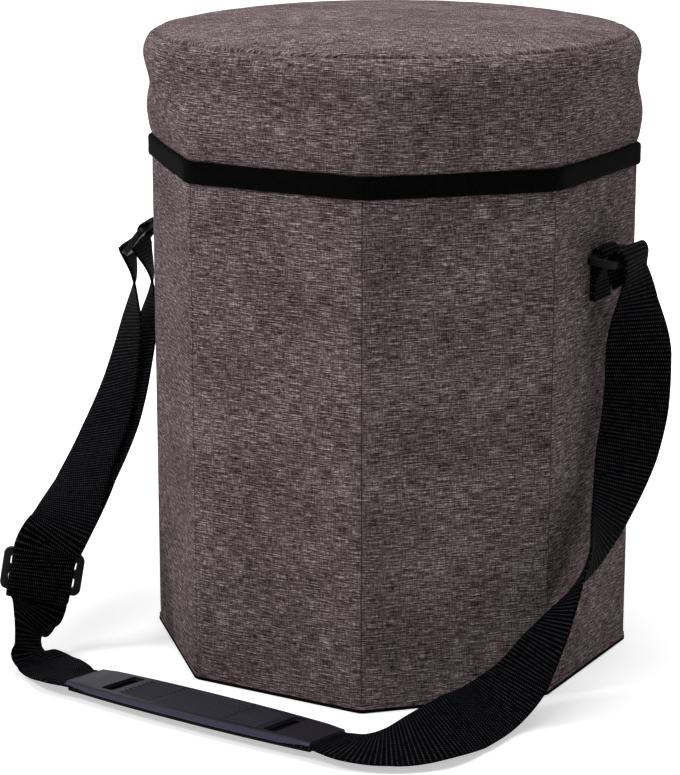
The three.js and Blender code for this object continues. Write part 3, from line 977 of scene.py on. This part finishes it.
def shoulder_pad(rubber):
    """Moulded pad that the webbing runs through, with a slot near each end."""
    half = PAD_LENGTH / 2
    fine = np.concatenate([[0.0, 0.0008, 0.002], np.linspace(0.006, PAD_LENGTH - 0.006, 150)])
    stations = np.concatenate([fine, [PAD_LENGTH - 0.002, PAD_LENGTH - 0.0008, PAD_LENGTH]]) - half
    sections = [pad_section(x) for x in stations]
    count = len(sections[0])
    points = [(x, y, z) for x, section in zip(stations, sections) for y, z in section]
    faces = grid_faces(len(stations), count, closed=True)
    faces.append(tuple(range(count))[::-1])
    faces.append(tuple((len(stations) - 1) * count + c for c in range(count)))
    pad = new_object("shoulder_pad_moulded", points, faces, None, 35)
    for sign in (-1, 1):
        slot_cut = slot_block(sign * PAD_SLOT_AT)
        cut = pad.modifiers.new("slot", "BOOLEAN")
        cut.operation = "DIFFERENCE"
        cut.solver = "EXACT"
        cut.object = slot_cut
        apply_modifiers(pad)
        bpy.data.objects.remove(slot_cut)
    shade_smooth(pad.data, SHARP_ANGLE)
    pad.matrix_world = pad_place()
    paint(pad, rubber)
    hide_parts("shoulder_pad")
    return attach(pad, "box_front")


def pad_place():
    return Matrix.Translation(PAD_AT) @ Euler((PAD_TILT, 0, PAD_YAW), "XYZ").to_matrix().to_4x4()


def pad_backing(cloth):
    """Black cloth sleeve under the pad, which holds the webbing against it."""
    rows = 60
    length = PAD_LENGTH - 0.002
    points = []
    for x in np.linspace(-length / 2, length / 2, rows):
        half = pad_half_width(x) - BACKING_INSET
        lower = [(-half, -0.0026), (-half + 0.001, -0.0034), (half - 0.001, -0.0034), (half, -0.0026)]
        upper = [(half, -0.0016), (half - 0.001, -0.0011), (-half + 0.001, -0.0011), (-half, -0.0016)]
        section = lower + upper
        points += [(x, y, z) for y, z in section]
    count = len(section)
    faces = grid_faces(rows, count, closed=True)
    faces.append(tuple(range(count)))
    faces.append(tuple((rows - 1) * count + c for c in reversed(range(count))))
    sleeve = new_object("pad_backing", points, faces, None, 50)
    sleeve.matrix_world = pad_place()
    paint(sleeve, cloth)
    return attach(sleeve, "box_front")


def slot_block(at):
    """Block that cuts a slot with round ends through the top of the pad."""
    wide, deep, corner = 0.0045, 0.0165, 0.002
    outline = []
    for cx, cy, first in ((1, 1, 0), (-1, 1, 90), (-1, -1, 180), (1, -1, 270)):
        for turn in range(0, 91, 30):
            angle = math.radians(first + turn)
            outline.append((
                at + cx * (wide - corner) + corner * math.cos(angle),
                cy * (deep - corner) + corner * math.sin(angle),
            ))
    count = len(outline)
    points = [(x, y, 0.0006) for x, y in outline] + [(x, y, 0.009) for x, y in outline]
    faces = [(i, (i + 1) % count, count + (i + 1) % count, count + i) for i in range(count)]
    faces.append(tuple(range(count))[::-1])
    faces.append(tuple(count + i for i in range(count)))
    return new_object("slot_block", points, faces)


def lid_hinge(tape):
    """Cloth hinge from the rear wall to the lid's band."""
    points, across = curve_points(HINGE_ROUTE, TAB_STEPS)
    strip = ribbon("lid_hinge_cloth", points, across, HINGE_WIDTH, HINGE_THICK, tape)
    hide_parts("lid_hinge_strip")
    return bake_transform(strip)


# Stage

def make_camera():
    data = bpy.data.cameras.new("camera")
    data.sensor_width = 36
    data.lens = FOCAL_PIXELS * data.sensor_width / IMAGE_LONG
    camera = bpy.data.objects.new("camera", data)
    bpy.context.scene.collection.objects.link(camera)
    yaw = VIEW_AZIMUTH + math.atan(AXIS_OFF_CENTRE / FOCAL_PIXELS)
    camera.location = (
        VIEW_DISTANCE * math.sin(VIEW_AZIMUTH),
        -VIEW_DISTANCE * math.cos(VIEW_AZIMUTH),
        VIEW_HEIGHT,
    )
    camera.rotation_euler = (math.pi / 2 - VIEW_PITCH, 0, yaw)
    bpy.context.scene.camera = camera


def area_light(name, at, size, watts):
    """A round soft lamp that points at the middle of the stool."""
    data = bpy.data.lights.new(name, "AREA")
    data.shape = "DISK"
    data.size = size
    data.energy = watts
    light = bpy.data.objects.new(name, data)
    bpy.context.scene.collection.objects.link(light)
    light.location = at
    light.rotation_euler = (Vector(LAMP_TARGET) - Vector(at)).to_track_quat("-Z", "Y").to_euler()


def make_stage():
    """White floor that keeps the shadows, a white world behind it, and soft lamps."""
    bpy.context.scene.view_settings.view_transform = "Standard"
    world = bpy.context.scene.world or bpy.data.worlds.new("world")
    bpy.context.scene.world = world
    world.use_nodes = True
    tree = world.node_tree
    sky = tree.nodes["Background"]
    path = tree.nodes.new("ShaderNodeLightPath")
    seen = path.outputs["Is Camera Ray"]
    for ray in ("Is Glossy Ray", "Is Transmission Ray"):
        both = tree.nodes.new("ShaderNodeMath")
        both.operation = "MAXIMUM"
        tree.links.new(seen, both.inputs[0])
        tree.links.new(path.outputs[ray], both.inputs[1])
        seen = both.outputs["Value"]
    level = tree.nodes.new("ShaderNodeMath")
    level.operation = "MULTIPLY_ADD"
    level.inputs[1].default_value = 1 - SKY_LIGHT
    level.inputs[2].default_value = SKY_LIGHT
    tree.links.new(seen, level.inputs[0])
    tree.links.new(level.outputs["Value"], sky.inputs["Strength"])
    sky.inputs["Color"].default_value = (1, 1, 1, 1)

    corners = [(x * FLOOR_HALF, y * FLOOR_HALF, 0) for x, y in ((-1, -1), (1, -1), (1, 1), (-1, 1))]
    floor = new_object("floor", corners, [(0, 1, 2, 3)])
    floor.location.z = -FLOOR_DROP
    white = Paint("floor_white", Roughness=0.9)
    white.shader.inputs["Base Color"].default_value = (FLOOR_GREY, FLOOR_GREY, FLOOR_GREY, 1)
    white.shader.inputs["Specular IOR Level"].default_value = 0.0
    path = white.add("ShaderNodeLightPath")
    seen = white.math("MAXIMUM", path.outputs["Is Camera Ray"], path.outputs["Is Glossy Ray"])
    seen = white.math("MAXIMUM", seen, path.outputs["Is Transmission Ray"])
    away = white.add("ShaderNodeVectorMath", {0: white.object_place()}, operation="LENGTH").outputs["Value"]
    spread = {"Value": away, "From Min": GLOW_NEAR, "From Max": GLOW_FAR}
    far = white.add("ShaderNodeMapRange", spread).outputs["Result"]
    glow = white.math("MULTIPLY_ADD", far, 0.5, 0.5)
    white.shader.inputs["Emission Color"].default_value = (1, 1, 1, 1)
    white.feed(white.shader.inputs["Emission Strength"], white.math("MULTIPLY", seen, glow))
    floor.data.materials.append(white.material)

    area_light("key", (-1.4, -1.5, 1.9), 0.7, 31)
    area_light("top", (0.2, 0.1, 2.4), 1.8, 38)
    area_light("fill", (2.0, -1.2, 1.0), 1.6, 1)


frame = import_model()

make_camera()
# the second colour of each tape is its painted highlight on the rib crests
webbing = ribbed_tape("ribbed_webbing", WEB_RIB, WEB_FLOAT, srgb(3, 3, 4), srgb(78, 78, 83))
edge_tape = ribbed_tape("edge_tape", BAND_RIB, BAND_FLOAT, srgb(4, 4, 5), srgb(38, 38, 40))
melange = melange_cloth("melange_cloth")
# a darker copy of the melange for the seam strips: painted shade in the joints between the walls
seam_shaded_cloth = melange_cloth("melange_seam_painted_shade", 0.62)
base_cloth = black_cloth()
plastic = moulded_plastic()

pad_piece = shoulder_pad(pad_rubber())
pad_backing(base_cloth)
fitting_pieces = {
    "ring_right": moulded("ring_right", "wall_right", RING_EDGE, plastic),
    "ring_left": moulded("ring_left", "wall_left", RING_EDGE, plastic),
    "strap_slider": moulded("strap_slider", "wall_front_left", SLIDER_EDGE, plastic),
    "tab_right": tab_piece("tab_right_webbing", TAB_RIGHT, "wall_right", "tab_right", webbing),
    "tab_left": tab_piece("tab_left_webbing", TAB_LEFT, "wall_left", "tab_left", webbing),
}
make_strap(webbing, pad_piece, fitting_pieces)

for number in range(len(SIDES)):
    wall_panel(number, melange)
    seam_strip(number, seam_shaded_cloth)
seat_cushion(melange)
band = tape_ring(
    "lid_band_tape",
    apothem=APOTHEM + BAND_THICK + BAND_OUT,
    corner=BAND_CORNER,
    thick=BAND_THICK,
    low=BAND_BOTTOM - BAND_DROP,
    high=BAND_TOP,
    wave=BAND_WAVE,
    material=edge_tape,
)
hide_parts("lid_band")
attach(band, "lid")
rim = tape_ring(
    "base_edge_tape",
    apothem=APOTHEM,
    corner=BASE_CORNER,
    thick=TAPE_THICK,
    low=0.0,
    high=TAPE_TOP,
    wave=0.0,
    material=edge_tape,
)
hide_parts("base_tape")
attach(rim, "box_front")
hem = tape_ring(
    "base_edge_cloth",
    apothem=APOTHEM - EDGE_LAP,
    corner=BASE_CORNER,
    thick=HEM_THICK,
    low=TAPE_TOP - EDGE_LAP,
    high=BASE_TOP + EDGE_LAP,
    wave=0.0,
    material=melange,
)
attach(hem, "box_front")
lid_hinge(edge_tape)

carried = {
    "fibreboard": fibreboard(),
    "foil_foam": foil_lining(),
    "black_cloth": base_cloth,
}
for subpart in frame["record"]["subparts"]:
    shown = frame["nodes"][subpart["node"]]
    if not shown.hide_render and subpart["material_slot"] in carried:
        shown.data.materials.clear()
        shown.data.materials.append(carried[subpart["material_slot"]])

make_stage()
